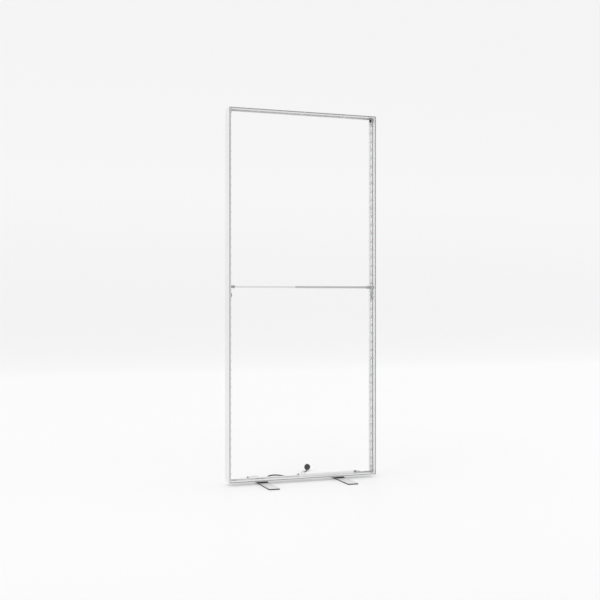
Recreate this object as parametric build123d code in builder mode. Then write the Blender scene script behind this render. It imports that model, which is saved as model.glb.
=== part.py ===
from build123d import *
from math import cos, radians, sin, tan
import os

# Free-standing, double-sided light-box frame (a slim illuminated partition wall without its fabric).
# +X runs along the frame to the right, +Y to its back, +Z up. The origin is on the floor, in the
# middle of the frame. All sizes are in millimetres.

os.makedirs("parts", exist_ok=True)

# ---- frame
FRAME_W = 850.0          # width over the posts
FRAME_H = 2000.0         # height of the frame itself, without its feet
FRAME_D = 80.0           # depth of the profile
WEB_T = 2.0              # outer wall of the profile
FACE_T = 10.0            # thickness of the profile, seen from the front
GROOVE_W = 3.2           # groove that takes the edge strip of the fabric
GROOVE_DEPTH = 14.0
GROOVE_WALL = 1.5
BLOCK_W = 16.0           # depth of the hollow block behind each groove
LIP_W = 2.0              # lips that narrow the mouth of the middle channel
LIP_T = 1.5

# ---- feet
FOOT_L = 410.0
FOOT_W = 60.0
FOOT_T = 3.0
FOOT_CORNER_R = 8.0
SOLE_T = 3.0
SOLE_HOLE_D = 20.0
FOOT_AT = (-226.0, 219.0)         # pivot of the left and of the right foot
PIVOT_D = 8.0
PIVOT_CLEAR = 0.05       # radial running clearance of the foot on its pivot
PIVOT_HEAD_D = 16.0
PIVOT_HEAD_T = 2.4
SPACER_D = 56.0          # disc between each foot and the frame
SPACER_T = 10.0
ANCHOR_L = 44.0          # threaded plate inside the bottom rail, above each foot
ANCHOR_W = 40.0
ANCHOR_T = 4.0

# ---- screws
FIT = 0.1                # radial clearance of a fixed screw
SCREW_D = 5.0
SCREW_HEAD_D = 9.0
SCREW_HEAD_T = 2.6
SCREW_BITE = 1.4         # how far a screw bites into the wall that it holds on to
SMALL_SCREW_D = 3.0
SMALL_HEAD_D = 5.6
SMALL_HEAD_T = 1.8

# ---- corner brackets and post splices
BRACKET_T = 3.0
BRACKET_LEG = 60.0
BRACKET_RAIL_W = 36.0
BRACKET_POST_W = 22.0
BRACKET_SCREW_AT = (24.0, 48.0)   # from the corner, along each leg
BRACKET_SCREW_Y = 10.0
SPLICE_L = 120.0
SPLICE_SCREW_AT = (22.0, 48.0)    # from the joint, each way

# ---- LED bars, two to each post
LENS_COUNT = 21
LENS_PITCH = 46.5
LENS_FROM_END = 43.5     # first lens, from the end of the frame
LENS_L = 18.0
LENS_W = 14.0
LENS_H = 9.4
CARRIER_W = 28.0
CARRIER_H = 9.0
CARRIER_WALL = 1.5
CARRIER_PAST_LENS = 18.0          # carrier past the outermost lens, at the corner
CARRIER_PAST_LENS_MID = 13.0      # and at the joint of the post
BOARD_W = 22.0
BOARD_T = 1.6
BAR_SCREW_AFTER_LENS = (2, 9, 17)

# ---- connectors and cables of the LED bars
PLUG_W = 12.0
PLUG_H = 8.4
LINK_PLUG_L = 13.0
JUMPER_PLUG_L = 10.0
JUMPER_D = 3.6
JUMPER_BULGE = 20.0      # how far the jumper loops out beside the bar
JUMPER_SLOPE = 0.42      # share of its height that the loop's slanting run takes
JUMPER_BEND_R = 4.5
JUMPER_PLUG_GAP = 1.0    # between a jumper plug and the nearest lens
LINK_PLUG_GAP = 6.0      # between the link plug and the top lens
SUPPLY_PLUG_GAP = 5.0    # between the supply plug and the bottom lens
LINK_D = 4.4
LINK_BEND = 0.92         # bend radius of the link cable, as a share of its drop
LINK_DEPTH = 7.4         # depth of the link cable's middle in the top rail
CLIP_L = 10.0
CLIP_WALL = 1.2
CLIP_X = (-250.0, 0.0, 250.0)
SUPPLY_D = 4.6
SUPPLY_LEAD = 14.0       # straight run of the supply cable out of its coupler
SUPPLY_FALL = 20.0       # length over which it comes down
SUPPLY_CLEAR = 1.0       # above the bracket that it passes over
SUPPLY_RISE = 3.4
CABLE_CLEAR = 0.02

# ---- crossbar
BAR_ABOVE_JOINT_LENS = 0.4        # in lens pitches above the first lens over the joint
TUBE_OUTER_D = 12.0
TUBE_OUTER_WALL = 1.2
TUBE_INNER_D = 9.44
TUBE_INNER_WALL = 1.0
TUBE_STEP_X = -40.0      # where the outer tube begins
TUBE_OVERLAP = 140.0
SHOE_HALF_SPAN = 34.0
SHOE_H = 12.0
SHOE_PLATE_T = 4.6
SHOE_TONGUE_T = 1.4
SHOE_TONGUE_GAP = 0.3
SHOE_TONGUE_IN = 5.0
SHOE_BOSS_D = 15.6
SHOE_BOSS_L = 24.0
SHOE_SOCKET = 20.0
SHOE_GAP = 2.0           # the shoe's plate stands off the post, level with the bar's lenses
SHOE_EDGE_R = 1.2
SHOE_BAR_CLEAR = 2.0     # round the LED bar that the shoe bridges
SHOE_BOARD_CLEAR = 0.6
SPRING_L = 120.0
SPRING_TURNS = 16
SPRING_WIRE = 1.0
SPRING_D = 8.2           # over the middle of the wire
STOP_L = 8.0
STOP_CLEAR = 0.02
SPRING_CLEAR = 0.05
STOP_GAP = 0.2

# ---- power supply
PSU_X0 = 20.0
PSU_X1 = 290.0
PSU_W = 40.0
PSU_H = 19.0
PSU_LIFT = 5.1           # underside of the case above the floor of the rail
PSU_WALL = 1.5
PSU_R = 3.0
CAP_L = 10.0
CAP_PLUG_L = 6.0
COVER_L = 32.0
CRADLE_X = (60.0, 272.0)
CRADLE_L = 24.0
CRADLE_ARM = 1.5
CRADLE_ARM_H = 8.0
PSU_BOARD_T = 1.6
PSU_BOARD_UP = 2.0       # above the inside of the case
PSU_BOARD_IN = 4.0       # in from each side of the case
PSU_BLOCKS = (           # length, depth limits and height of each block on the board, from the case's end
    (-26, -6, -11, 3, 8), (90, 118, -12, 12, 11), (150, 168, -14, 6, 10))
PSU_CANS = ((40, 0), (62, -6), (205, 5), (225, -7))
CAN_D = 10.0
CAN_H = 11.0
CAP_EDGE_R = 2.0
COVER_EDGE_R = 2.5
COVER_SCREW_AT = (7.0, 25.0)      # from the cover's end
COVER_SCREW_IN = 9.0              # from the cover's front side
CRADLE_SCREW_Y = 12.0
COUPLER_D = 10.0
COUPLER_L = 22.0
COUPLER_UP = 11.0        # axis above the underside of the case
COUPLER_RINGS_AT = (7.0, 11.0, 15.0)
COUPLER_RING_W = 1.6
COUPLER_RING_DEPTH = 0.7
COUPLER_EDGE = 1.2

# ---- mains cord
CORD_D = 6.4
GLAND_D = 10.0
GLAND_FLANGE_T = 2.0
GLAND_X = 4.0
GLAND_UP = 6.0           # axis above the floor of the rail
GLAND_TIP_Y = 46.0
GLAND_SLEEVE_IN = 1.5    # the gland's sleeve is this much smaller in radius than its flange
NOTCH_W = 14.0
MAINS_PLUG_D = 34.0
PLUG_TAIL_L = 26.0
PLUG_TAIL_R = 7.0        # strain relief where it meets the grip
PLUG_TAIL_WALL = 1.0     # round the cord, where the cord goes in
PLUG_GRIP_L = 20.0
PLUG_GRIP_R = (9.5, 14.5)
PLUG_HEAD_L = 13.0
PLUG_RIM_CLEAR = 0.3     # under the rim that the plug lies on
PLUG_HEADING = 65.0      # direction of the plug in plan, in degrees from +X
PLUG_PITCH = 11.5        # its tail lies lower, in degrees
PLUG_TAIL_AT = (122.0, 262.0)
PIN_D = 4.8
PIN_L = 19.0
PIN_SPACING = 19.0
PIN_EDGE_R = 1.2

# ---- worked out from the sizes above
RAIL_Z = SOLE_T + FOOT_T + SPACER_T       # underside of the frame
TOP_Z = RAIL_Z + FRAME_H
JOINT_Z = RAIL_Z + FRAME_H / 2
TROUGH_Z = RAIL_Z + WEB_T                 # floor of the bottom rail's channel
HALF_W = FRAME_W / 2
WALL_X = HALF_W - WEB_T                   # inner side of a post's outer wall
CHANNEL_HALF = FRAME_D / 2 - BLOCK_W
BOARD_X = WALL_X - CARRIER_H              # underside of an LED board
BOARD_TOP_X = BOARD_X - BOARD_T
PLUG_X = BOARD_TOP_X - PLUG_H / 2         # middle of the plugs on the boards
LENS_RUN = (LENS_COUNT - 1) * LENS_PITCH
LOWER_LENS_Z = RAIL_Z + LENS_FROM_END
UPPER_LENS_Z = TOP_Z - LENS_FROM_END - LENS_RUN
BAR_Z = UPPER_LENS_Z + BAR_ABOVE_JOINT_LENS * LENS_PITCH
PSU_Z = TROUGH_Z + PSU_LIFT
CASE_FIT = 0.15

LEFT, RIGHT = -1, 1
LOWER, UPPER = -1, 1
SIDE_NAME = {LEFT: "left", RIGHT: "right"}
FOOT_X = {LEFT: FOOT_AT[0], RIGHT: FOOT_AT[1]}
LEVEL_NAME = {LOWER: "lower", UPPER: "upper"}
CENTRED = (Align.CENTER, Align.CENTER, Align.CENTER)
ON_FLOOR = (Align.CENTER, Align.CENTER, Align.MIN)


def save(builder, name):
    builder.part.label = name
    export_step(builder.part, f"parts/{name}.step")


def box_between(x, y, z, mode=Mode.ADD):
    """A box from one pair of limits along each axis, in any order."""
    size = [abs(b - a) for a, b in (x, y, z)]
    with Locations((sum(x) / 2, sum(y) / 2, sum(z) / 2)):
        Box(*size, align=CENTRED, mode=mode)


def screw(shank_d, length, head_d, head_t):
    """A pan-head screw: its head stands on the origin plane and its shank points down."""
    with BuildPart() as piece:
        Cylinder(shank_d / 2, length, align=(Align.CENTER, Align.CENTER, Align.MAX))
        Cylinder(head_d / 2, head_t, align=ON_FLOOR)
        fillet(piece.edges().sort_by(Axis.Z)[-1], head_t * 0.45)
    return piece.part


def tube_along(points, radii, diameter):
    """A round cable along straight runs joined by arcs."""
    with BuildPart() as piece:
        with BuildLine() as path:
            FilletPolyline(*points, radius=radii)
        with BuildSketch(Plane(origin=path.line @ 0, z_dir=path.line % 0)):
            Circle(diameter / 2)
        sweep(path=path.line)
    return piece


# ------------------------------------------------------------------ frame profiles
def frame_profile():
    """Section of every profile: X runs inwards from the outer face, Y through the depth."""
    inwards = (Align.MIN, Align.CENTER)
    with BuildSketch() as section:
        Rectangle(WEB_T, FRAME_D, align=inwards)
        for face in (-1, 1):
            with Locations((WEB_T, face * (FRAME_D - BLOCK_W) / 2)):
                Rectangle(FACE_T - WEB_T, BLOCK_W, align=inwards)
            with Locations((WEB_T, face * (FRAME_D - GROOVE_DEPTH) / 2)):
                Rectangle(GROOVE_W, GROOVE_DEPTH, align=inwards, mode=Mode.SUBTRACT)
            with Locations((WEB_T + GROOVE_W + GROOVE_WALL, face * (FRAME_D - BLOCK_W) / 2)):
                Rectangle(FACE_T - WEB_T - GROOVE_W - 2 * GROOVE_WALL, BLOCK_W - 2 * GROOVE_WALL,
                          align=inwards, mode=Mode.SUBTRACT)
            with Locations((FACE_T - LIP_T, face * (CHANNEL_HALF - LIP_W / 2))):
                Rectangle(LIP_T, LIP_W, align=inwards)
    return section.sketch


def post_leg_screws(side, level):
    """Planes on a bracket's post leg where its screw heads sit, facing into the frame."""
    end_z = TOP_Z if level == UPPER else RAIL_Z
    return [Plane(origin=(side * (WALL_X - BRACKET_T), 0, end_z - level * at), z_dir=(-side, 0, 0))
            for at in BRACKET_SCREW_AT]


def rail_leg_screws(side, level):
    """Planes on a bracket's rail leg where its screw heads sit, facing into the frame."""
    wall_z = TOP_Z - WEB_T if level == UPPER else RAIL_Z + WEB_T
    return [Plane(origin=(side * (HALF_W - at), y, wall_z - level * BRACKET_T), z_dir=(0, 0, -level))
            for at, y in zip(BRACKET_SCREW_AT, (-BRACKET_SCREW_Y, BRACKET_SCREW_Y))]


def splice_screws(side, level):
    """Planes on a splice plate where the screws of one post half sit."""
    return [Plane(origin=(side * (WALL_X - BRACKET_T), 0, JOINT_Z + level * at), z_dir=(-side, 0, 0))
            for at in SPLICE_SCREW_AT]


def bar_end(level, end):
    """Height of one end of an LED bar's carrier; end is -1 below and 1 above."""
    first = LOWER_LENS_Z if level == LOWER else UPPER_LENS_Z
    past = CARRIER_PAST_LENS if end == level else CARRIER_PAST_LENS_MID
    return first - past if end < 0 else first + LENS_RUN + past


def bar_screws(side, level):
    """Planes on an LED board where its screw heads sit, between two lenses."""
    first = LOWER_LENS_Z if level == LOWER else UPPER_LENS_Z
    return [Plane(origin=(side * BOARD_TOP_X, 0, first + (after + 0.5) * LENS_PITCH), z_dir=(-side, 0, 0))
            for after in BAR_SCREW_AFTER_LENS]


def drill(planes, diameter, depth):
    """Round holes of one depth, straight into each plane."""
    for plane in planes:
        with Locations(plane):
            Cylinder(diameter / 2, depth, align=(Align.CENTER, Align.CENTER, Align.MAX), mode=Mode.SUBTRACT)


def cradle_screws(x):
    """Planes on the floor of the rail where a cradle's screws go in."""
    return [Plane(origin=(x, y, TROUGH_Z + PSU_LIFT - SMALL_HEAD_T), z_dir=(0, 0, 1))
            for y in (-CRADLE_SCREW_Y, CRADLE_SCREW_Y)]


CORNER_SCREW_L = BRACKET_T + SCREW_BITE
BAR_SCREW_L = BOARD_T + CARRIER_H + SCREW_BITE
CRADLE_SCREW_L = PSU_LIFT - SMALL_HEAD_T + SCREW_BITE

for side in (LEFT, RIGHT):
    for level in (LOWER, UPPER):
        start = RAIL_Z if level == LOWER else JOINT_Z
        corner = (side * HALF_W, 0, RAIL_Z if level == LOWER else TOP_Z)
        with BuildPart() as post:
            with BuildSketch(Plane(origin=(side * HALF_W, 0, start), x_dir=(-side, 0, 0), z_dir=(0, 0, 1))):
                add(frame_profile())
            extrude(amount=FRAME_H / 2)
            split(bisect_by=Plane(origin=corner, z_dir=(side, 0, -level)), keep=Keep.TOP)
            drill(post_leg_screws(side, level) + splice_screws(side, level), SCREW_D + 2 * FIT,
                  CORNER_SCREW_L + FIT)
            drill(bar_screws(side, level), SMALL_SCREW_D + 2 * FIT, BAR_SCREW_L + FIT)
        save(post, f"post_{SIDE_NAME[side]}_{LEVEL_NAME[level]}")

for level, name in ((UPPER, "rail_top"), (LOWER, "rail_bottom")):
    outer_z = TOP_Z if level == UPPER else RAIL_Z
    with BuildPart() as rail:
        with BuildSketch(Plane(origin=(-HALF_W, 0, outer_z), x_dir=(0, 0, -level), z_dir=(1, 0, 0))):
            add(frame_profile())
        extrude(amount=FRAME_W)
        for side in (LEFT, RIGHT):
            split(bisect_by=Plane(origin=(side * HALF_W, 0, outer_z), z_dir=(-side, 0, level)), keep=Keep.TOP)
            drill(rail_leg_screws(side, level), SCREW_D + 2 * FIT, CORNER_SCREW_L + FIT)
        if level == LOWER:
            with Locations(*[(FOOT_X[side], 0, outer_z) for side in (LEFT, RIGHT)]):
                Cylinder(PIVOT_D / 2 + FIT, WEB_T, align=ON_FLOOR, mode=Mode.SUBTRACT)
            for x in CRADLE_X:
                drill(cradle_screws(x), SMALL_SCREW_D + 2 * FIT, CRADLE_SCREW_L + FIT)
            box_between((GLAND_X - NOTCH_W / 2, GLAND_X + NOTCH_W / 2),
                        (CHANNEL_HALF - LIP_W, FRAME_D / 2),
                        (TROUGH_Z, RAIL_Z + FACE_T), mode=Mode.SUBTRACT)
    save(rail, name)

# ------------------------------------------------------------------ corner brackets and splices
for side in (LEFT, RIGHT):
    for level in (LOWER, UPPER):
        wall_z = TOP_Z - WEB_T if level == UPPER else RAIL_Z + WEB_T
        with BuildPart() as bracket:
            box_between((side * WALL_X, side * (WALL_X - BRACKET_LEG)),
                        (-BRACKET_RAIL_W / 2, BRACKET_RAIL_W / 2),
                        (wall_z, wall_z - level * BRACKET_T))
            box_between((side * WALL_X, side * (WALL_X - BRACKET_T)),
                        (-BRACKET_POST_W / 2, BRACKET_POST_W / 2),
                        (wall_z, wall_z - level * BRACKET_LEG))
            drill(post_leg_screws(side, level) + rail_leg_screws(side, level), SCREW_D + 2 * FIT, BRACKET_T)
        save(bracket, f"corner_bracket_{SIDE_NAME[side]}_{LEVEL_NAME[level]}")

    with BuildPart() as splice:
        box_between((side * WALL_X, side * (WALL_X - BRACKET_T)),
                    (-BRACKET_POST_W / 2, BRACKET_POST_W / 2),
                    (JOINT_Z - SPLICE_L / 2, JOINT_Z + SPLICE_L / 2))
        drill(splice_screws(side, LOWER) + splice_screws(side, UPPER), SCREW_D + 2 * FIT, BRACKET_T)
    save(splice, f"post_splice_{SIDE_NAME[side]}")

with BuildPart() as frame_screws:
    for side in (LEFT, RIGHT):
        for level in (LOWER, UPPER):
            seats = post_leg_screws(side, level) + rail_leg_screws(side, level) + splice_screws(side, level)
            with Locations(*seats):
                add(screw(SCREW_D, CORNER_SCREW_L, SCREW_HEAD_D, SCREW_HEAD_T))
save(frame_screws, "frame_screws")

# ------------------------------------------------------------------ LED bars
for side in (LEFT, RIGHT):
    for level in (LOWER, UPPER):
        bar_name = f"{SIDE_NAME[side]}_{LEVEL_NAME[level]}"
        low, high = bar_end(level, -1), bar_end(level, 1)
        first_lens = LOWER_LENS_Z if level == LOWER else UPPER_LENS_Z

        with BuildPart() as carrier:
            box_between((side * WALL_X, side * BOARD_X), (-CARRIER_W / 2, CARRIER_W / 2), (low, high))
            box_between((side * WALL_X, side * (BOARD_X + CARRIER_WALL)),
                        (CARRIER_WALL - CARRIER_W / 2, CARRIER_W / 2 - CARRIER_WALL), (low, high),
                        mode=Mode.SUBTRACT)
            drill(bar_screws(side, level), SMALL_SCREW_D + 2 * FIT, BAR_SCREW_L)
        save(carrier, f"led_carrier_{bar_name}")

        with BuildPart() as board:
            box_between((side * BOARD_X, side * BOARD_TOP_X), (-BOARD_W / 2, BOARD_W / 2), (low, high))
            drill(bar_screws(side, level), SMALL_SCREW_D + 2 * FIT, BOARD_T)
        save(board, f"led_board_{bar_name}")

        with BuildPart() as lens:
            with BuildSketch(Plane(origin=(side * BOARD_TOP_X, 0, first_lens),
                                   x_dir=(0, 0, 1), z_dir=(-side, 0, 0))):
                Ellipse(LENS_L / 2, LENS_W / 2)
            extrude(amount=LENS_H)
            fillet(lens.faces().sort_by(Axis.X)[0 if side == RIGHT else -1].edges(), LENS_H * 0.45)
        with BuildPart() as lenses:
            with Locations(*[(0, 0, i * LENS_PITCH) for i in range(LENS_COUNT)]):
                add(lens.part)
        save(lenses, f"led_lenses_{bar_name}")

with BuildPart() as led_bar_screws:
    for side in (LEFT, RIGHT):
        for level in (LOWER, UPPER):
            with Locations(*bar_screws(side, level)):
                add(screw(SMALL_SCREW_D, BAR_SCREW_L, SMALL_HEAD_D, SMALL_HEAD_T))
save(led_bar_screws, "led_bar_screws")


# ------------------------------------------------------------------ plugs and cables of the LED bars
def board_plug(side, z, length):
    """A plug housing standing on an LED board, from one height to another."""
    box_between((side * BOARD_TOP_X, side * (BOARD_TOP_X - PLUG_H)), (-PLUG_W / 2, PLUG_W / 2),
                (z, z + length))


lower_plug_z = LOWER_LENS_Z + LENS_RUN + LENS_L / 2 + JUMPER_PLUG_GAP
upper_plug_z = UPPER_LENS_Z - LENS_L / 2 - JUMPER_PLUG_GAP - JUMPER_PLUG_L
link_plug_z = UPPER_LENS_Z + LENS_RUN + LENS_L / 2 + LINK_PLUG_GAP
supply_plug_z = LOWER_LENS_Z - LENS_L / 2 - SUPPLY_PLUG_GAP - LINK_PLUG_L

with BuildPart() as jumper_plugs:
    for side in (LEFT, RIGHT):
        board_plug(side, lower_plug_z, JUMPER_PLUG_L)
        board_plug(side, upper_plug_z, JUMPER_PLUG_L)
save(jumper_plugs, "jumper_plugs")

for side in (LEFT, RIGHT):
    # the jumper leaves the front side of one plug, loops past the end of the bar and comes back
    enter_z = lower_plug_z + JUMPER_PLUG_L / 2
    leave_z = upper_plug_z + JUMPER_PLUG_L / 2
    near_y = -PLUG_W / 2 - CABLE_CLEAR
    far_y = near_y - JUMPER_BULGE
    slope = JUMPER_SLOPE * (leave_z - enter_z)
    route = [(side * PLUG_X, y, z) for y, z in (
        (near_y, enter_z), (far_y + slope, enter_z), (far_y, enter_z + slope),
        (far_y, leave_z - slope), (far_y + slope, leave_z), (near_y, leave_z))]
    jumper = tube_along(route, JUMPER_BEND_R, JUMPER_D)
    save(jumper, f"jumper_cable_{SIDE_NAME[side]}")

with BuildPart() as link_plugs:
    for side in (LEFT, RIGHT):
        board_plug(side, link_plug_z, LINK_PLUG_L)
save(link_plugs, "link_plugs")

link_z = TOP_Z - LINK_DEPTH
link_drop = link_z - (link_plug_z + LINK_PLUG_L)
link_route = [(-PLUG_X, 0, link_z - link_drop), (-PLUG_X, 0, link_z),
              (PLUG_X, 0, link_z), (PLUG_X, 0, link_z - link_drop)]
top_link_cable = tube_along(link_route, link_drop * LINK_BEND, LINK_D)
save(top_link_cable, "top_link_cable")

with BuildPart() as cable_clips:
    clip_r = LINK_D / 2 + CASE_FIT
    for x in CLIP_X:
        box_between((x - CLIP_L / 2, x + CLIP_L / 2), (-clip_r - CLIP_WALL, clip_r + CLIP_WALL),
                    (TOP_Z - WEB_T, link_z - clip_r - CLIP_WALL))
        with Locations(Location((x, 0, link_z), (0, 90, 0))):
            Cylinder(clip_r, CLIP_L, mode=Mode.SUBTRACT)
save(cable_clips, "cable_clips")

with BuildPart() as supply_plug:
    board_plug(RIGHT, supply_plug_z, LINK_PLUG_L)
save(supply_plug, "supply_plug")

coupler_z = PSU_Z + COUPLER_UP
coupler_x = PSU_X1 + CAP_L
coupler_end = coupler_x + COUPLER_L
supply_low_z = TROUGH_Z + BRACKET_T + SUPPLY_D / 2 + SUPPLY_CLEAR
supply_drop = supply_plug_z - supply_low_z
supply_route = [(coupler_end, 0, coupler_z), (coupler_end + SUPPLY_LEAD, 0, coupler_z),
                (coupler_end + SUPPLY_LEAD + SUPPLY_FALL, 0, supply_low_z), (PLUG_X - SUPPLY_LEAD, 0, supply_low_z),
                (PLUG_X, 0, supply_low_z + SUPPLY_RISE), (PLUG_X, 0, supply_plug_z)]
led_supply_cable = tube_along(supply_route, [14, 14, 12, supply_drop * 0.55], SUPPLY_D)
save(led_supply_cable, "led_supply_cable")

# ------------------------------------------------------------------ crossbar
for side in (LEFT, RIGHT):
    face_x = HALF_W - FACE_T              # inner face of the post
    plate_x = face_x - SHOE_PLATE_T - SHOE_GAP
    tongue_y = CHANNEL_HALF - LIP_W - SHOE_TONGUE_GAP
    with BuildPart() as shoe:
        box_between((side * face_x, side * plate_x), (-SHOE_HALF_SPAN, SHOE_HALF_SPAN),
                    (BAR_Z - SHOE_H / 2, BAR_Z + SHOE_H / 2))
        box_between((side * face_x, side * (BOARD_TOP_X - SHOE_BOARD_CLEAR)),
                    (-CARRIER_W / 2 - SHOE_BAR_CLEAR, CARRIER_W / 2 + SHOE_BAR_CLEAR),
                    (BAR_Z - SHOE_H / 2, BAR_Z + SHOE_H / 2), mode=Mode.SUBTRACT)
        for face in (-1, 1):
            box_between((side * face_x, side * (face_x + SHOE_TONGUE_IN)),
                        (face * (tongue_y - SHOE_TONGUE_T), face * tongue_y),
                        (BAR_Z - SHOE_H / 2, BAR_Z + SHOE_H / 2))
        with Locations(Plane(origin=(side * plate_x, 0, BAR_Z), z_dir=(-side, 0, 0))):
            Cylinder(SHOE_BOSS_D / 2, SHOE_BOSS_L, align=ON_FLOOR)
        fillet(shoe.faces().sort_by(Axis.X)[0 if side == RIGHT else -1].edges(), SHOE_EDGE_R)
        tube_d = TUBE_OUTER_D if side == RIGHT else TUBE_INNER_D
        with Locations(Plane(origin=(side * (plate_x - SHOE_BOSS_L), 0, BAR_Z), z_dir=(-side, 0, 0))):
            Cylinder(tube_d / 2 + PIVOT_CLEAR, SHOE_SOCKET, align=(Align.CENTER, Align.CENTER, Align.MAX),
                     mode=Mode.SUBTRACT)
    save(shoe, f"crossbar_shoe_{SIDE_NAME[side]}")

socket_x = HALF_W - FACE_T - SHOE_PLATE_T - SHOE_GAP - SHOE_BOSS_L + SHOE_SOCKET
inner_end_x = TUBE_STEP_X + TUBE_OVERLAP
stop_x = inner_end_x + SPRING_L

with BuildPart() as crossbar_outer_tube:
    with BuildSketch(Plane(origin=(TUBE_STEP_X, 0, BAR_Z), z_dir=(1, 0, 0))):
        Circle(TUBE_OUTER_D / 2)
        Circle(TUBE_OUTER_D / 2 - TUBE_OUTER_WALL, mode=Mode.SUBTRACT)
    extrude(amount=socket_x - TUBE_STEP_X)
save(crossbar_outer_tube, "crossbar_outer_tube")

with BuildPart() as crossbar_inner_tube:
    with BuildSketch(Plane(origin=(-socket_x, 0, BAR_Z), z_dir=(1, 0, 0))):
        Circle(TUBE_INNER_D / 2)
        Circle(TUBE_INNER_D / 2 - TUBE_INNER_WALL, mode=Mode.SUBTRACT)
    extrude(amount=inner_end_x + socket_x)
save(crossbar_inner_tube, "crossbar_inner_tube")

# the spring pushes the inner tube out of the outer one, against the stop crimped inside it
with BuildPart() as crossbar_spring:
    with BuildLine() as coil:
        Helix(pitch=(SPRING_L - SPRING_WIRE) / SPRING_TURNS, height=SPRING_L - SPRING_WIRE,
              radius=SPRING_D / 2, center=(inner_end_x + SPRING_WIRE / 2 + SPRING_CLEAR, 0, BAR_Z), direction=(1, 0, 0))
    with BuildSketch(Plane(origin=coil.line @ 0, z_dir=coil.line % 0)):
        Circle(SPRING_WIRE / 2)
    sweep(path=coil.line, is_frenet=True)
save(crossbar_spring, "crossbar_spring")

with BuildPart() as crossbar_spring_stop:
    with Locations(Plane(origin=(stop_x + STOP_GAP, 0, BAR_Z), z_dir=(1, 0, 0))):
        Cylinder(TUBE_OUTER_D / 2 - TUBE_OUTER_WALL - STOP_CLEAR, STOP_L, align=ON_FLOOR)
save(crossbar_spring_stop, "crossbar_spring_stop")


# ------------------------------------------------------------------ power supply
def case_section(inset):
    """Rounded section of the power supply, X across it and Y up from its underside."""
    with BuildSketch() as section:
        with Locations((0, PSU_H / 2)):
            RectangleRounded(PSU_W - 2 * inset, PSU_H - 2 * inset, max(PSU_R - inset, 0.6))
    return section.sketch


def across_rail(x):
    """A plane across the rail at x, on the underside of the power supply, facing right."""
    return Plane(origin=(x, 0, PSU_Z), x_dir=(0, 1, 0), z_dir=(1, 0, 0))


with BuildPart() as psu_case:
    with BuildSketch(across_rail(PSU_X0)):
        add(case_section(0))
        add(case_section(PSU_WALL), mode=Mode.SUBTRACT)
    extrude(amount=PSU_X1 - PSU_X0)
save(psu_case, "psu_case")

with BuildPart() as psu_end_cap:
    with BuildSketch(across_rail(PSU_X1)):
        add(case_section(0))
    extrude(amount=CAP_L)
    fillet(psu_end_cap.faces().sort_by(Axis.X)[-1].edges(), CAP_EDGE_R)
    with BuildSketch(across_rail(PSU_X1 - CAP_PLUG_L)):
        add(case_section(PSU_WALL + CASE_FIT))
    extrude(amount=CAP_PLUG_L)
save(psu_end_cap, "psu_end_cap")

cover_x0 = PSU_X0 - COVER_L
gland_z = TROUGH_Z + GLAND_UP
with BuildPart() as psu_terminal_cover:
    box_between((cover_x0, PSU_X0), (-PSU_W / 2, PSU_W / 2), (TROUGH_Z, PSU_Z + PSU_H))
    fillet(psu_terminal_cover.faces().sort_by(Axis.X)[0].edges().sort_by(Axis.Z)[1:], COVER_EDGE_R)
    box_between((cover_x0 + PSU_WALL, PSU_X0), (PSU_WALL - PSU_W / 2, PSU_W / 2 - PSU_WALL),
                (TROUGH_Z + PSU_WALL, PSU_Z + PSU_H - PSU_WALL), mode=Mode.SUBTRACT)
    with Locations(Plane(origin=(GLAND_X, PSU_W / 2, gland_z), z_dir=(0, 1, 0))):
        Cylinder(GLAND_D / 2 - GLAND_SLEEVE_IN, 3 * PSU_WALL, mode=Mode.SUBTRACT)
    cover_screw_seats = [Plane(origin=(cover_x0 + at, COVER_SCREW_IN - PSU_W / 2, PSU_Z + PSU_H), z_dir=(0, 0, 1))
                         for at in COVER_SCREW_AT]
    drill(cover_screw_seats, SMALL_SCREW_D + 2 * FIT, PSU_WALL)
save(psu_terminal_cover, "psu_terminal_cover")

board_low_z = PSU_Z + PSU_WALL + PSU_BOARD_UP
with BuildPart() as psu_board:
    box_between((cover_x0 + PSU_BOARD_IN, PSU_X1 - CAP_PLUG_L - 1), (PSU_BOARD_IN - PSU_W / 2, PSU_W / 2 - PSU_BOARD_IN),
                (board_low_z, board_low_z + PSU_BOARD_T))
    for x in (PSU_X0 + 12, (PSU_X0 + PSU_X1) / 2, PSU_X1 - 20):
        for y in (-10, 10):
            box_between((x - 2, x + 2), (y - 2, y + 2), (PSU_Z + PSU_WALL, board_low_z))
save(psu_board, "psu_board")

board_high_z = board_low_z + PSU_BOARD_T
with BuildPart() as psu_components:
    for x0, x1, y0, y1, tall in PSU_BLOCKS:
        box_between((PSU_X0 + x0, PSU_X0 + x1), (y0, y1), (board_high_z, board_high_z + tall))
    with Locations(*[(PSU_X0 + x, y, board_high_z) for x, y in PSU_CANS]):
        Cylinder(CAN_D / 2, CAN_H, align=ON_FLOOR)
save(psu_components, "psu_components")

with BuildPart() as psu_cradles:
    for x in CRADLE_X:
        box_between((x - CRADLE_L / 2, x + CRADLE_L / 2), (-PSU_W / 2 - CRADLE_ARM, PSU_W / 2 + CRADLE_ARM),
                    (TROUGH_Z, PSU_Z + CRADLE_ARM_H))
        box_between((x - CRADLE_L / 2, x + CRADLE_L / 2), (-PSU_W / 2, PSU_W / 2),
                    (PSU_Z, PSU_Z + CRADLE_ARM_H), mode=Mode.SUBTRACT)
        for seat in cradle_screws(x):
            with Locations(seat):
                Cylinder(SMALL_HEAD_D / 2 + FIT, SMALL_HEAD_T, align=ON_FLOOR, mode=Mode.SUBTRACT)
        drill(cradle_screws(x), SMALL_SCREW_D + 2 * FIT, PSU_LIFT)
save(psu_cradles, "psu_cradles")

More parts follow.
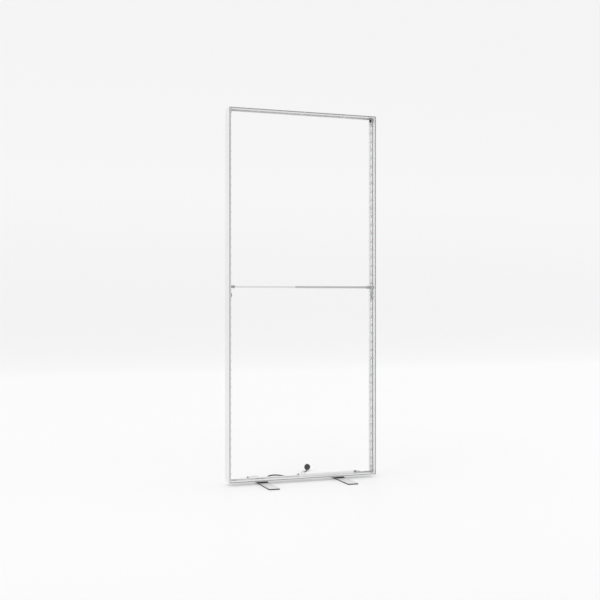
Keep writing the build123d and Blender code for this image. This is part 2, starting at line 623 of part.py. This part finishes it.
with BuildPart() as psu_screws:
    for x in CRADLE_X:
        with Locations(*cradle_screws(x)):
            add(screw(SMALL_SCREW_D, CRADLE_SCREW_L, SMALL_HEAD_D, SMALL_HEAD_T))
    with Locations(*cover_screw_seats):
        add(screw(SMALL_SCREW_D, 3 * PSU_WALL, SMALL_HEAD_D, SMALL_HEAD_T))
save(psu_screws, "psu_screws")

with BuildPart() as dc_coupler:
    with Locations(Plane(origin=(coupler_x, 0, coupler_z), z_dir=(1, 0, 0))):
        Cylinder(COUPLER_D / 2, COUPLER_L, align=ON_FLOOR)
    chamfer(dc_coupler.faces().sort_by(Axis.X)[-1].edges(), COUPLER_EDGE)
    for at in COUPLER_RINGS_AT:
        with Locations(Plane(origin=(coupler_x + at, 0, coupler_z), z_dir=(1, 0, 0))):
            Cylinder(COUPLER_D / 2, COUPLER_RING_W, mode=Mode.SUBTRACT)
            Cylinder(COUPLER_D / 2 - COUPLER_RING_DEPTH, COUPLER_RING_W)
save(dc_coupler, "dc_coupler")

# ------------------------------------------------------------------ mains cord
with BuildPart() as mains_gland:
    with Locations(Plane(origin=(GLAND_X, PSU_W / 2, gland_z), z_dir=(0, 1, 0))):
        Cylinder(GLAND_D / 2, GLAND_FLANGE_T, align=ON_FLOOR)
        Cylinder(GLAND_D / 2 - GLAND_SLEEVE_IN - FIT, 2 * PSU_WALL, align=(Align.CENTER, Align.CENTER, Align.MAX))
    with BuildSketch(Plane(origin=(GLAND_X, PSU_W / 2 + GLAND_FLANGE_T, gland_z), z_dir=(0, 1, 0))):
        Circle(GLAND_D / 2 - 0.4)
    with BuildSketch(Plane(origin=(GLAND_X, GLAND_TIP_Y, gland_z), z_dir=(0, 1, 0))):
        Circle(CORD_D / 2 + 0.3)
    loft()
save(mains_gland, "mains_gland")

floor_z = CORD_D / 2
plug_heading = radians(PLUG_HEADING)
plug_pitch = radians(PLUG_PITCH)
plug_axis = Vector(cos(plug_heading) * cos(plug_pitch), sin(plug_heading) * cos(plug_pitch), sin(plug_pitch))
plug_tail_z = (PLUG_RIM_CLEAR + MAINS_PLUG_D / 2 * cos(plug_pitch)
               - (PLUG_TAIL_L + PLUG_GRIP_L) * sin(plug_pitch))
plug_tail = Vector(*PLUG_TAIL_AT, plug_tail_z)     # where the cord enters the plug
plug_approach = plug_tail - plug_axis * ((plug_tail_z - floor_z) / sin(plug_pitch))
cord_route = [
    (GLAND_X, GLAND_TIP_Y, gland_z), (GLAND_X, 64, gland_z), (3, 86, 16), (-12, 106, 6), (-42, 110, floor_z),
    (-80, 97, floor_z), (-116, 97, floor_z), (-143, 120, floor_z), (-149, 156, floor_z), (-132, 190, floor_z),
    (-99, 206, floor_z), (-70, 191, floor_z), (-56, 160, floor_z), (-42, 134, floor_z), (-16, 122, floor_z),
    (12, 128, floor_z), (33, 150, floor_z), (46, 180, floor_z), (64, 207, floor_z), (87, 226, floor_z),
    tuple(plug_approach), tuple(plug_tail)]


def cord_radii(route):
    """The largest arc that two neighbouring runs allow at each inner point of a route."""
    points = [Vector(*point) for point in route]
    radii = []
    for before, here, after in zip(points, points[1:], points[2:]):
        arriving, leaving = here - before, after - here
        half_turn = radians(arriving.get_angle(leaving)) / 2
        radii.append(0.45 * min(arriving.length, leaving.length) / tan(half_turn))
    return radii


mains_cord = tube_along(cord_route, cord_radii(cord_route), CORD_D)
save(mains_cord, "mains_cord")

plug_plane = Plane(origin=plug_tail, x_dir=(sin(plug_heading), -cos(plug_heading), 0), z_dir=plug_axis)
with BuildPart() as mains_plug:
    with BuildSketch(plug_plane):
        Circle(CORD_D / 2 + PLUG_TAIL_WALL)
    with BuildSketch(plug_plane.offset(PLUG_TAIL_L)):
        Circle(PLUG_TAIL_R)
    loft()
    with BuildSketch(plug_plane.offset(PLUG_TAIL_L)):
        Circle(PLUG_GRIP_R[0])
    with BuildSketch(plug_plane.offset(PLUG_TAIL_L + PLUG_GRIP_L)):
        Circle(PLUG_GRIP_R[1])
    loft()
    with Locations(plug_plane.offset(PLUG_TAIL_L + PLUG_GRIP_L)):
        Cylinder(MAINS_PLUG_D / 2, PLUG_HEAD_L, align=ON_FLOOR)
save(mains_plug, "mains_plug")

with BuildPart() as mains_plug_pins:
    with Locations(plug_plane.offset(PLUG_TAIL_L + PLUG_GRIP_L + PLUG_HEAD_L)):
        with Locations((-PIN_SPACING / 2, 0), (PIN_SPACING / 2, 0)):
            Cylinder(PIN_D / 2, PIN_L, align=ON_FLOOR)
    fillet(mains_plug_pins.faces().sort_by(Axis.Y)[-2:].edges(), PIN_EDGE_R)
save(mains_plug_pins, "mains_plug_pins")

# ------------------------------------------------------------------ feet
for side in (LEFT, RIGHT):
    with BuildPart() as foot_sole:
        with BuildSketch():
            with Locations((FOOT_X[side], 0)):
                RectangleRounded(FOOT_W, FOOT_L, FOOT_CORNER_R)
                Circle(SOLE_HOLE_D / 2, mode=Mode.SUBTRACT)
        extrude(amount=SOLE_T)
    save(foot_sole, f"foot_sole_{SIDE_NAME[side]}")

    with BuildPart() as foot_plate:
        with BuildSketch(Plane.XY.offset(SOLE_T)):
            with Locations((FOOT_X[side], 0)):
                RectangleRounded(FOOT_W, FOOT_L, FOOT_CORNER_R)
                Circle(PIVOT_D / 2 + PIVOT_CLEAR, mode=Mode.SUBTRACT)
        extrude(amount=FOOT_T)
        chamfer(foot_plate.faces().sort_by(Axis.Z)[-1].edges().filter_by(GeomType.LINE), 0.5)
    save(foot_plate, f"foot_plate_{SIDE_NAME[side]}")

pivots = [(FOOT_X[side], 0) for side in (LEFT, RIGHT)]
with BuildPart() as foot_spacers:
    with BuildSketch(Plane.XY.offset(SOLE_T + FOOT_T)):
        with Locations(*pivots):
            Circle(SPACER_D / 2)
            Circle(PIVOT_D / 2 + FIT, mode=Mode.SUBTRACT)
    extrude(amount=SPACER_T)
save(foot_spacers, "foot_spacers")

with BuildPart() as foot_anchor_plates:
    with BuildSketch(Plane.XY.offset(TROUGH_Z)):
        with Locations(*pivots):
            RectangleRounded(ANCHOR_L, ANCHOR_W, 2)
            Circle(PIVOT_D / 2 + FIT, mode=Mode.SUBTRACT)
    extrude(amount=ANCHOR_T)
save(foot_anchor_plates, "foot_anchor_plates")

with BuildPart() as foot_pivot_screws:
    with Locations(*[(x, y, SOLE_T) for x, y in pivots]):
        Cylinder(PIVOT_D / 2, TROUGH_Z + ANCHOR_T - SOLE_T, align=ON_FLOOR)
        Cylinder(PIVOT_HEAD_D / 2, PIVOT_HEAD_T, align=(Align.CENTER, Align.CENTER, Align.MAX))
save(foot_pivot_screws, "foot_pivot_screws")
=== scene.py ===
from math import cos, pi, radians, sin

import bmesh
import bpy
import numpy as np
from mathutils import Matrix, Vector


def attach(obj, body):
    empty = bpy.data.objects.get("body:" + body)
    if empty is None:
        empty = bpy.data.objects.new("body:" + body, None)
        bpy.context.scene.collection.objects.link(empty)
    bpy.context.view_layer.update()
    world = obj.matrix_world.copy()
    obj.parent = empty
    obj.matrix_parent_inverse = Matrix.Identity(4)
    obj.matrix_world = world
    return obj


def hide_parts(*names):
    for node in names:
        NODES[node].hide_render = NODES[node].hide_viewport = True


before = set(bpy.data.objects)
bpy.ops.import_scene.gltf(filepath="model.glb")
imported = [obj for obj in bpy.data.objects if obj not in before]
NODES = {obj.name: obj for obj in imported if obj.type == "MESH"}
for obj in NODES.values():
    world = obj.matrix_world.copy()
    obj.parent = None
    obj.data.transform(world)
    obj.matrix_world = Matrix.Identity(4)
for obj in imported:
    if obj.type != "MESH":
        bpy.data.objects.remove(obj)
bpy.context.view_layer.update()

SIDES = ("left", "right")
BARS = [f"{side}_{level}" for side in SIDES for level in ("lower", "upper")]


# ------------------------------------------------------------------ materials
NOISE_ROUGHNESS = 0.55
FIRST_LENS_Z = 0.0595            # middle of the lowest LED lens
LENS_PITCH = 0.0465
TRACE_Y = (0.0088, 0.0098)       # where the traces run, from the middle of the board
PART_HALF_W = 0.0022             # half the width of a small part and its pads
PART_AT = (0.035, 0.055)         # where a part ends and its pads end, in pitches from its middle
EDGE_AND_SHADE_BELOW_Z = 0.0056            # the foot plates are painted silver above this height and black below it: their dark edge with painted shade and painted shadow


class Nodes:
    """Builds one material's node tree."""

    def __init__(self, name):
        self.material = bpy.data.materials.new(name)
        self.material.use_nodes = True
        self.tree = self.material.node_tree
        self.shader = self.tree.nodes["Principled BSDF"]
        self.coords = self.tree.nodes.new("ShaderNodeTexCoord").outputs["Object"]

    def node(self, kind, **inputs):
        made = self.tree.nodes.new(kind)
        for key, value in inputs.items():
            socket = made.inputs[int(key[1:])] if key[0] == "_" and key[1:].isdigit() else made.inputs[key]
            self.feed(socket, value)
        return made

    def feed(self, socket, value):
        if isinstance(value, bpy.types.NodeSocket):
            self.tree.links.new(value, socket)
        else:
            socket.default_value = value

    def stretched(self, scale):
        """Object coordinates scaled along each axis."""
        return self.node("ShaderNodeMapping", Vector=self.coords, Scale=scale).outputs["Vector"]

    def noise(self, scale, detail=3.0):
        return self.node("ShaderNodeTexNoise", Vector=self.stretched(scale), Scale=1.0, Detail=detail,
                         Roughness=NOISE_ROUGHNESS).outputs["Fac"]

    def spread(self, value, low, high, start=0.25, end=0.75):
        return self.node("ShaderNodeMapRange", _0=value, _1=start, _2=end, _3=low, _4=high).outputs[0]

    def math(self, operation, a, b=0.0):
        made = self.node("ShaderNodeMath", _0=a, _1=b)
        made.operation = operation
        return made.outputs[0]

    def shaded(self, colour, amount):
        """A colour made lighter and darker by a value that runs round 1."""
        made = self.node("ShaderNodeMix")
        made.data_type = "RGBA"
        made.blend_type = "MULTIPLY"
        made.inputs["Factor"].default_value = 1.0
        colours = [socket for socket in made.inputs if socket.type == "RGBA"]
        self.feed(colours[0], colour)
        self.feed(colours[1], amount)
        return [socket for socket in made.outputs if socket.type == "RGBA"][0]

    def mixed(self, factor, a, b):
        made = self.node("ShaderNodeMix")
        made.data_type = "RGBA"
        colours = [socket for socket in made.inputs if socket.type == "RGBA"]
        self.feed(made.inputs["Factor"], factor)
        self.feed(colours[0], a)
        self.feed(colours[1], b)
        return [socket for socket in made.outputs if socket.type == "RGBA"][0]

    def bump(self, height, distance):
        return self.node("ShaderNodeBump", Height=height, Distance=distance, Strength=1.0).outputs["Normal"]


def rgba(level, tint=(0, 0, 0)):
    """A near-neutral colour from one level and a small shift of each channel."""
    return (level + tint[0], level + tint[1], level + tint[2], 1.0)


def surface(name, colour, rough, metal=0.0, grain=(900, 900, 900), vary=0.05, depth=0.00004,
            rough_vary=0.06, cloud=9.0, **extra):
    """A finish with a fine grain, a slow cloudiness and an uneven gloss."""
    m = Nodes(name)
    fine = m.noise(grain)
    slow = m.noise((cloud, cloud, cloud), 2.0)
    tone = m.math("MULTIPLY", m.spread(fine, 1 - vary / 2, 1 + vary / 2), m.spread(slow, 1 - vary / 2, 1 + vary / 2))
    m.feed(m.shader.inputs["Base Color"], m.shaded(colour, tone))
    m.feed(m.shader.inputs["Roughness"], m.spread(fine, rough - rough_vary, rough + rough_vary))
    m.feed(m.shader.inputs["Normal"], m.bump(fine, depth))
    m.shader.inputs["Metallic"].default_value = metal
    for key, value in extra.items():
        m.shader.inputs[key.replace("_", " ")].default_value = value
    return m


def extruded(name, along, level=0.84):
    """Anodised extrusion: die lines run along the profile."""
    grain = [2600, 2600, 2600]
    grain["XYZ".index(along)] = 6
    return surface(name, rgba(level, (0, 0.002, 0.006)), 0.36, 0.72, grain=tuple(grain), vary=0.06,
                   depth=0.000012, cloud=3.0).material


def led_board_material():
    """White solder mask with two pale traces, solder pads beside each lens and small parts between them."""
    m = Nodes("led_board")
    split = m.node("ShaderNodeSeparateXYZ", Vector=m.coords)
    across, up = m.math("ABSOLUTE", split.outputs["Y"]), split.outputs["Z"]
    traces = m.math("MULTIPLY", m.math("GREATER_THAN", across, TRACE_Y[0]),
                    m.math("LESS_THAN", across, TRACE_Y[1]))
    pitch = m.math("FRACT", m.math("DIVIDE", m.math("SUBTRACT", up, FIRST_LENS_Z), LENS_PITCH))
    middle = m.math("ABSOLUTE", m.math("SUBTRACT", pitch, 0.5))
    narrow = m.math("LESS_THAN", across, PART_HALF_W)
    part = m.math("MULTIPLY", m.math("LESS_THAN", middle, PART_AT[0]), narrow)
    beside = m.math("MULTIPLY", m.math("GREATER_THAN", middle, PART_AT[0]), m.math("LESS_THAN", middle, PART_AT[1]))
    pads = m.math("MULTIPLY", beside, narrow)
    fine = m.noise((700, 700, 700))
    base = m.shaded(rgba(0.80, (0, 0.002, 0.004)), m.spread(fine, 0.97, 1.03))
    base = m.mixed(m.math("MULTIPLY", traces, 0.5), base, rgba(0.66))
    base = m.mixed(pads, base, rgba(0.55, (0.02, 0.01, 0)))
    base = m.mixed(part, base, rgba(0.06))
    m.feed(m.shader.inputs["Base Color"], base)
    m.feed(m.shader.inputs["Metallic"], m.math("MULTIPLY", pads, 0.8))
    m.feed(m.shader.inputs["Roughness"], m.spread(fine, 0.30, 0.42))
    m.feed(m.shader.inputs["Normal"], m.bump(m.math("ADD", m.math("ADD", part, pads), traces), 0.00025))
    return m.material


def lens_material():
    """Milky moulded acrylic: a bright soft body under a glossy skin, with faint flow lines."""
    m = Nodes("lens_acrylic")
    flow = m.noise((220, 220, 60))
    m.feed(m.shader.inputs["Base Color"], m.shaded(rgba(0.93, (-0.004, 0, 0.006)), m.spread(flow, 0.97, 1.02)))
    m.feed(m.shader.inputs["Roughness"], m.spread(flow, 0.06, 0.14))
    m.shader.inputs["Transmission Weight"].default_value = 0.35
    m.shader.inputs["IOR"].default_value = 1.49
    m.shader.inputs["Subsurface Weight"].default_value = 0.25
    m.shader.inputs["Subsurface Scale"].default_value = 0.004
    m.feed(m.shader.inputs["Normal"], m.bump(flow, 0.00003))
    return m.material


def spangled(name, level):
    """Bright zinc plating: small crystals of slightly different tone."""
    m = Nodes(name)
    cells = m.node("ShaderNodeTexVoronoi", Vector=m.coords, Scale=420.0).outputs["Distance"]
    fine = m.noise((1500, 1500, 1500))
    tone = m.spread(cells, 0.88, 1.08, 0.0, 0.6)
    m.feed(m.shader.inputs["Base Color"], m.shaded(rgba(level, (0, 0.004, 0.012)), tone))
    m.feed(m.shader.inputs["Roughness"], m.spread(cells, 0.26, 0.44, 0.0, 0.7))
    m.feed(m.shader.inputs["Normal"], m.bump(fine, 0.00002))
    m.shader.inputs["Metallic"].default_value = 1.0
    return m.material


def rubber(name, level, ribs=None):
    """Matt rubber: fine pores, dusty lighter patches, and ribs along Y where asked for."""
    m = Nodes(name)
    pores = m.noise((1800, 1800, 1800), 4.0)
    dust = m.noise((24, 24, 24), 3.0)
    m.feed(m.shader.inputs["Base Color"], m.shaded(rgba(level), m.spread(dust, 0.85, 1.35)))
    m.feed(m.shader.inputs["Roughness"], m.spread(pores, 0.62, 0.82))
    height = pores
    if ribs:
        wave = m.math("SINE", m.math("MULTIPLY", m.node("ShaderNodeSeparateXYZ", Vector=m.coords).outputs["Y"],
                                     2 * pi / ribs))
        height = m.math("ADD", m.math("MULTIPLY", pores, 0.3), wave)
    m.feed(m.shader.inputs["Normal"], m.bump(height, 0.00012 if ribs else 0.00003))
    return m.material


def foot_finish():
    """Silver-grey paint on top; the sides, below the chamfer, are black: the plate's dark edge together with painted
    shade of the sides and a painted shadow under the plate.
    """
    m = surface("foot_paint_and_shade", rgba(0.68, (0, 0.002, 0.004)), 0.44, 0.2, grain=(1600, 1600, 1600), vary=0.07,
                depth=0.00006, cloud=7.0, Coat_Weight=0.1)
    height = m.node("ShaderNodeSeparateXYZ", Vector=m.coords).outputs["Z"]
    paint = m.shader.inputs["Base Color"].links[0].from_socket
    # painted shade: below this height the sides are black, standing for the plate's dark edge, the shade on the
    # sides and the shadow under the plate
    below = m.math("LESS_THAN", height, EDGE_AND_SHADE_BELOW_Z)
    m.feed(m.shader.inputs["Base Color"], m.mixed(below, paint, rgba(0.02)))
    return m.material


def circuit_material():
    """Green solder mask with paler tracks."""
    m = Nodes("circuit")
    tracks = m.node("ShaderNodeTexBrick", Vector=m.coords, Scale=120.0)
    mask, copper = (0.03, 0.16, 0.08, 1), (0.09, 0.30, 0.16, 1)
    m.feed(m.shader.inputs["Base Color"], m.mixed(tracks.outputs["Fac"], mask, copper))
    m.shader.inputs["Roughness"].default_value = 0.35
    return m.material


def sheath(name, level, rough=0.5):
    return surface(name, rgba(level), rough, grain=(1400, 1400, 1400), vary=0.08, depth=0.00002, cloud=30.0).material


def moulded(name, level, rough=0.45, tint=(0, 0, 0)):
    """Moulded plastic with a fine eroded texture."""
    return surface(name, rgba(level, tint), rough, grain=(2200, 2200, 2200), vary=0.05, depth=0.00005,
                   cloud=14.0).material


ALU_X = extruded("aluminium_along_x", "X")
ALU_Z = extruded("aluminium_along_z", "Z")
MILL = extruded("mill_aluminium", "Z", 0.66)
TUBE_LIGHT = extruded("tube_light", "X", 0.76)
TUBE_DARK = surface("tube_dark", rgba(0.55, (0, 0.002, 0.004)), 0.40, 0.75, grain=(8, 2400, 2400), vary=0.08,
                    depth=0.00001).material
ZINC = spangled("zinc_plate", 0.66)
STEEL = surface("plain_steel", rgba(0.58), 0.28, 1.0, grain=(900, 900, 900), vary=0.1, depth=0.00001).material
WHITE_CASE = surface("white_case", rgba(0.84, (0.004, 0.002, 0)), 0.42, grain=(1300, 1300, 1300), vary=0.03,
                     depth=0.00005, cloud=6.0, Coat_Weight=0.15).material
FOOT_PAINT_AND_SHADE = foot_finish()
WHITE_NYLON = moulded("white_nylon", 0.80, 0.48)
BLACK_NYLON = moulded("black_nylon", 0.022, 0.42)
GREY_PLASTIC = moulded("grey_plastic", 0.30, 0.46)
SHOE_PLASTIC = moulded("shoe_plastic", 0.40, 0.50)
DARK_STEEL = surface("dark_steel", rgba(0.05), 0.35, 1.0, grain=(900, 900, 900), vary=0.1,
                     depth=0.00001).material
COMPONENT = moulded("component_black", 0.05, 0.4)
NICKEL = surface("nickel_pin", rgba(0.74, (0.01, 0.006, 0)), 0.18, 1.0, grain=(600, 600, 600), vary=0.05,
                 depth=0.000005).material
CORD_BLACK = sheath("cord_black", 0.016, 0.46)
CABLE_DARK = sheath("cable_dark", 0.15)
CABLE_GREY = sheath("cable_grey", 0.52)
RUBBER = rubber("sole_rubber", 0.016, ribs=0.006)

FINISH = {
    ALU_Z: [f"post_{bar}" for bar in BARS],
    ALU_X: ["rail_top", "rail_bottom"],
    ZINC: [f"corner_bracket_{bar}" for bar in BARS] + [f"post_splice_{side}" for side in SIDES]
          + ["foot_anchor_plates"],
    DARK_STEEL: ["psu_screws"],
    STEEL: ["frame_screws", "led_bar_screws", "foot_pivot_screws", "crossbar_spring"],
    MILL: [f"led_carrier_{bar}" for bar in BARS],
    led_board_material(): [f"led_board_{bar}" for bar in BARS],
    lens_material(): [f"led_lenses_{bar}" for bar in BARS],
    WHITE_NYLON: ["jumper_plugs", "supply_plug", "cable_clips", "psu_cradles"],
    BLACK_NYLON: ["link_plugs", "foot_spacers"],
    GREY_PLASTIC: ["dc_coupler", "crossbar_spring_stop"],
    SHOE_PLASTIC: ["crossbar_shoe_left", "crossbar_shoe_right"],
    CABLE_DARK: ["jumper_cable_left", "jumper_cable_right"],
    CABLE_GREY: ["top_link_cable", "led_supply_cable"],
    TUBE_DARK: ["crossbar_outer_tube"],
    TUBE_LIGHT: ["crossbar_inner_tube"],
    WHITE_CASE: ["psu_case", "psu_end_cap", "psu_terminal_cover"],
    circuit_material(): ["psu_board"],
    COMPONENT: ["psu_components"],
    NICKEL: ["mains_plug_pins"],
    FOOT_PAINT_AND_SHADE: ["foot_plate_left", "foot_plate_right"],
    RUBBER: ["foot_sole_left", "foot_sole_right"],
}
for material, names in FINISH.items():
    for name in names:
        mesh = NODES[name].data
        mesh.materials.clear()
        mesh.materials.append(material)


# ------------------------------------------------------------------ new pieces
def put(name, mesh, material, body, slot, *stands_for):
    """Adds a mesh as a piece that rides on a body and stands for CAD nodes."""
    piece = bpy.data.objects.new(name, mesh)
    bpy.context.scene.collection.objects.link(piece)
    mesh.materials.append(material)
    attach(piece, body)
    if stands_for:
        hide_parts(*stands_for)
    return piece


def turned(name, origin, axis, profile, around=48, flat=None):
    """A closed turned mesh.

    The point at angle t of ring i is origin + axis * s_i + r_i * f(s_i, t) * (u cos t + v sin t), where (s_i, r_i)
    is the profile, u is level and square to the axis, and v is square to both. f is 1 unless flat(s, t) is given.
    """
    axis = np.array(axis, float) / np.linalg.norm(axis)
    u = np.cross(axis, (0.0, 0.0, 1.0))
    u /= np.linalg.norm(u)
    v = np.cross(u, axis)
    s = np.array([p[0] for p in profile])[:, None]
    r = np.array([p[1] for p in profile])[:, None]
    t = np.linspace(0, 2 * pi, around, endpoint=False)[None, :]
    r = r * (flat(s, t) if flat else np.ones_like(t))
    points = (np.array(origin) + s[..., None] * axis
              + (r * np.cos(t))[..., None] * u + (r * np.sin(t))[..., None] * v).reshape(-1, 3)
    rings = len(profile)
    faces = []
    for i in range(rings - 1):
        for j in range(around):
            k = (j + 1) % around
            faces.append((i * around + j, i * around + k, (i + 1) * around + k, (i + 1) * around + j))
    faces.append(tuple(reversed(range(around))))
    faces.append(tuple((rings - 1) * around + j for j in range(around)))
    mesh = bpy.data.meshes.new(name)
    mesh.from_pydata([tuple(p) for p in points], [], faces)
    work = bmesh.new()
    work.from_mesh(mesh)
    bmesh.ops.recalc_face_normals(work, faces=work.faces)
    work.to_mesh(mesh)
    work.free()
    for polygon in mesh.polygons:
        polygon.use_smooth = len(polygon.vertices) == 4
    return mesh


def ribbed(start, end, r_start, r_end, ribs, depth):
    """Profile of a tapered strain relief: ribs with narrow slots between them."""
    points = []
    for i in range(ribs):
        a = start + (end - start) * i / ribs
        b = start + (end - start) * (i + 1) / ribs
        ra = r_start + (r_end - r_start) * i / ribs
        rb = r_start + (r_end - r_start) * (i + 1) / ribs
        section = ((0, ra - depth), (0.10, ra - depth), (0.16, ra - 0.2 * depth), (0.24, ra),
                   (0.80, rb), (0.88, rb - 0.2 * depth), (0.94, rb - depth))
        points += [(a + share * (b - a), radius) for share, radius in section]
    return points


# the mains cord leaves the strain relief level, sags to the floor and winds back past the frame to its plug
ROUTE = [
    (0.004, 0.046, 0.024), (0.004, 0.064, 0.024), (0.003, 0.086, 0.016), (-0.012, 0.106, 0.006),
    (-0.042, 0.110, 0.0032), (-0.080, 0.097, 0.0032), (-0.116, 0.097, 0.0032), (-0.143, 0.120, 0.0032),
    (-0.149, 0.156, 0.0032), (-0.132, 0.190, 0.0032), (-0.099, 0.206, 0.0032), (-0.070, 0.191, 0.0032),
    (-0.056, 0.160, 0.0032), (-0.042, 0.134, 0.0032), (-0.016, 0.122, 0.0032), (0.012, 0.128, 0.0032),
    (0.032, 0.151, 0.0032), (0.043, 0.183, 0.0032), (0.060, 0.211, 0.0032), (0.085, 0.229, 0.0032),
    (0.11247, 0.24156, 0.0032), (0.122, 0.262, 0.00779),
]
CORD_D = 0.0064
cord_data = bpy.data.curves.new("mains_lead", "CURVE")
cord_data.dimensions = "3D"
spline = cord_data.splines.new("NURBS")
spline.points.add(len(ROUTE) - 1)
for point, place in zip(spline.points, ROUTE):
    point.co = (*place, 1.0)
spline.order_u = 3
spline.use_endpoint_u = True
spline.resolution_u = 10
cord_data.bevel_depth = CORD_D / 2
cord_data.bevel_resolution = 5
cord_data.use_fill_caps = True
cord_data.materials.append(CORD_BLACK)
mains_lead = bpy.data.objects.new("mains_lead", cord_data)
bpy.context.scene.collection.objects.link(mains_lead)
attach(mains_lead, "frame")
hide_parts("mains_cord")

# the strain relief on the power supply
RELIEF_AT = (0.004, 0.020, 0.024)
relief_profile = ([(0.0, 0.0035), (0.0, 0.0047), (0.0003, 0.0050), (0.0017, 0.0050), (0.0020, 0.0047)]
                  + ribbed(0.0028, 0.0245, 0.0046, 0.0037, 6, 0.0007) + [(0.0250, 0.0036), (0.0260, 0.0033)])
relief = put("cord_strain_relief", turned("cord_strain_relief", RELIEF_AT, (0, 1, 0), relief_profile),
             BLACK_NYLON, "frame", "black_plastic", "mains_gland")

# the mains plug: ribbed tail, waisted grip with finger flats, round head with a rim
PLUG_TAIL = (0.122, 0.262, 0.00779)
HEADING, PITCH = radians(65), radians(11.5)      # of the plug, which lies on its rim
PLUG_AXIS = (cos(HEADING) * cos(PITCH), sin(HEADING) * cos(PITCH), sin(PITCH))
grip = [(0.0262 + 0.0198 * i / 12, 0.0094 + 0.0045 * (i / 12) ** 2.2 - 0.0006 * sin(pi * i / 12)) for i in range(13)]
plug_profile = ([(0.0, 0.0034), (0.0004, 0.0042)] + ribbed(0.0010, 0.0250, 0.0043, 0.0067, 6, 0.0007)
                + [(0.0255, 0.0072), (0.0258, 0.0088)] + grip
                + [(0.0462, 0.0150), (0.0468, 0.0164), (0.0476, 0.0169), (0.0488, 0.0170), (0.0510, 0.0170),
                   (0.0513, 0.0167), (0.0519, 0.0167), (0.0522, 0.0170), (0.0576, 0.0170), (0.0585, 0.0167),
                   (0.0590, 0.0160), (0.0590, 0.0152), (0.0584, 0.0149), (0.0584, 0.0120)])


def finger_flats(s, t):
    """1 away from the grip; on it, up to an eighth less on the two level sides."""
    on_grip = np.clip((s - 0.028) / 0.004, 0, 1) * np.clip((0.0455 - s) / 0.004, 0, 1)
    return 1 - 0.125 * on_grip * np.abs(np.cos(t)) ** 3


plug = put("mains_plug_body", turned("mains_plug_body", PLUG_TAIL, PLUG_AXIS, plug_profile, 64, finger_flats),
           BLACK_NYLON, "frame", "black_plastic", "mains_plug")


# ------------------------------------------------------------------ floor, light and camera
def swept(name, half_width, profile, material):
    """A backdrop: the point at row i and side k is (k * half_width, y_i, z_i)."""
    points = [(side * half_width, y, z) for y, z in profile for side in (-1, 1)]
    faces = [(2 * i, 2 * i + 1, 2 * i + 3, 2 * i + 2) for i in range(len(profile) - 1)]
    mesh = bpy.data.meshes.new(name)
    mesh.from_pydata(points, [], faces)
    mesh.materials.append(material)
    for polygon in mesh.polygons:
        polygon.use_smooth = True
    made = bpy.data.objects.new(name, mesh)
    bpy.context.scene.collection.objects.link(made)
    return made


FLOOR_Z = -0.0003
NEAR_GLOW = 0.23                 # of the floor round the object


def studio_white():
    """White paper: it takes soft shadows near the object and glows evenly further away."""
    m = Nodes("studio_white")
    away = m.node("ShaderNodeVectorMath", Vector=m.coords)
    away.operation = "LENGTH"
    far = m.spread(away.outputs["Value"], 0.0, 1.0, 0.5, 2.6)
    grain = m.noise((30, 30, 30))
    near_white = m.shaded(rgba(0.62), m.spread(grain, 0.997, 1.003))
    m.feed(m.shader.inputs["Base Color"], m.mixed(far, near_white, rgba(0.25)))
    high = m.node("ShaderNodeSeparateXYZ", Vector=m.coords).outputs["Z"]
    glow = m.spread(high, 0.60, 0.69, 0.0, 3.0)
    m.feed(m.shader.inputs["Emission Strength"],
           m.math("ADD", NEAR_GLOW, m.math("MULTIPLY", far, m.math("SUBTRACT", glow, NEAR_GLOW))))
    m.shader.inputs["Emission Color"].default_value = rgba(1.0)
    m.shader.inputs["Roughness"].default_value = 0.45
    m.shader.inputs["Specular IOR Level"].default_value = 0.2
    return m.material


studio = studio_white()
SWEEP_R = 6.0
sweep_profile = [(-14.0, FLOOR_Z), (0.0, FLOOR_Z), (8.0, FLOOR_Z)]
sweep_profile += [(8.0 + SWEEP_R * sin(a), FLOOR_Z + SWEEP_R * (1 - cos(a))) for a in np.linspace(0, pi / 2, 25)[1:]]
sweep_profile += [(14.0, 12.0)]
swept("studio_sweep", 16.0, sweep_profile, studio)

world = bpy.data.worlds.new("studio_light")
bpy.context.scene.world = world
world.use_nodes = True
tree = world.node_tree
background = tree.nodes["Background"]
direction = tree.nodes.new("ShaderNodeTexCoord").outputs["Generated"]
axes = tree.nodes.new("ShaderNodeSeparateXYZ")
tree.links.new(direction, axes.inputs[0])
front = tree.nodes.new("ShaderNodeMapRange")
front.interpolation_type = "SMOOTHSTEP"
tree.links.new(axes.outputs["Y"], front.inputs[0])
for index, value in ((1, -0.95), (2, -0.25), (3, 0.62), (4, 1.15)):
    front.inputs[index].default_value = value
tree.links.new(front.outputs[0], background.inputs["Color"])
background.inputs["Strength"].default_value = 1.0


def soft_box(name, at, towards, size, power):
    """A square soft light of a given size and power, aimed at a point."""
    data = bpy.data.lights.new(name, "AREA")
    data.shape = "SQUARE"
    data.size = size
    data.energy = power
    lamp = bpy.data.objects.new(name, data)
    bpy.context.scene.collection.objects.link(lamp)
    lamp.location = at
    lamp.rotation_euler = (Vector(towards) - Vector(at)).to_track_quat("-Z", "Y").to_euler()
    return lamp


soft_box("key", (-4.5, -3.0, 4.2), (0, 0, 1.0), 2.6, 60)
soft_box("fill", (5.0, -2.0, 2.6), (0, 0, 1.0), 2.6, 25)

camera_data = bpy.data.cameras.new("camera")
camera_data.lens = 60.1
camera_data.shift_x = 0.0004
camera_data.sensor_width = 36.0
camera = bpy.data.objects.new("camera", camera_data)
bpy.context.scene.collection.objects.link(camera)
camera.location = (-1.872, -5.162, 0.990)
camera.rotation_euler = (radians(90), 0, radians(-19.8))
bpy.context.scene.camera = camera
bpy.context.scene.view_settings.view_transform = "Standard"
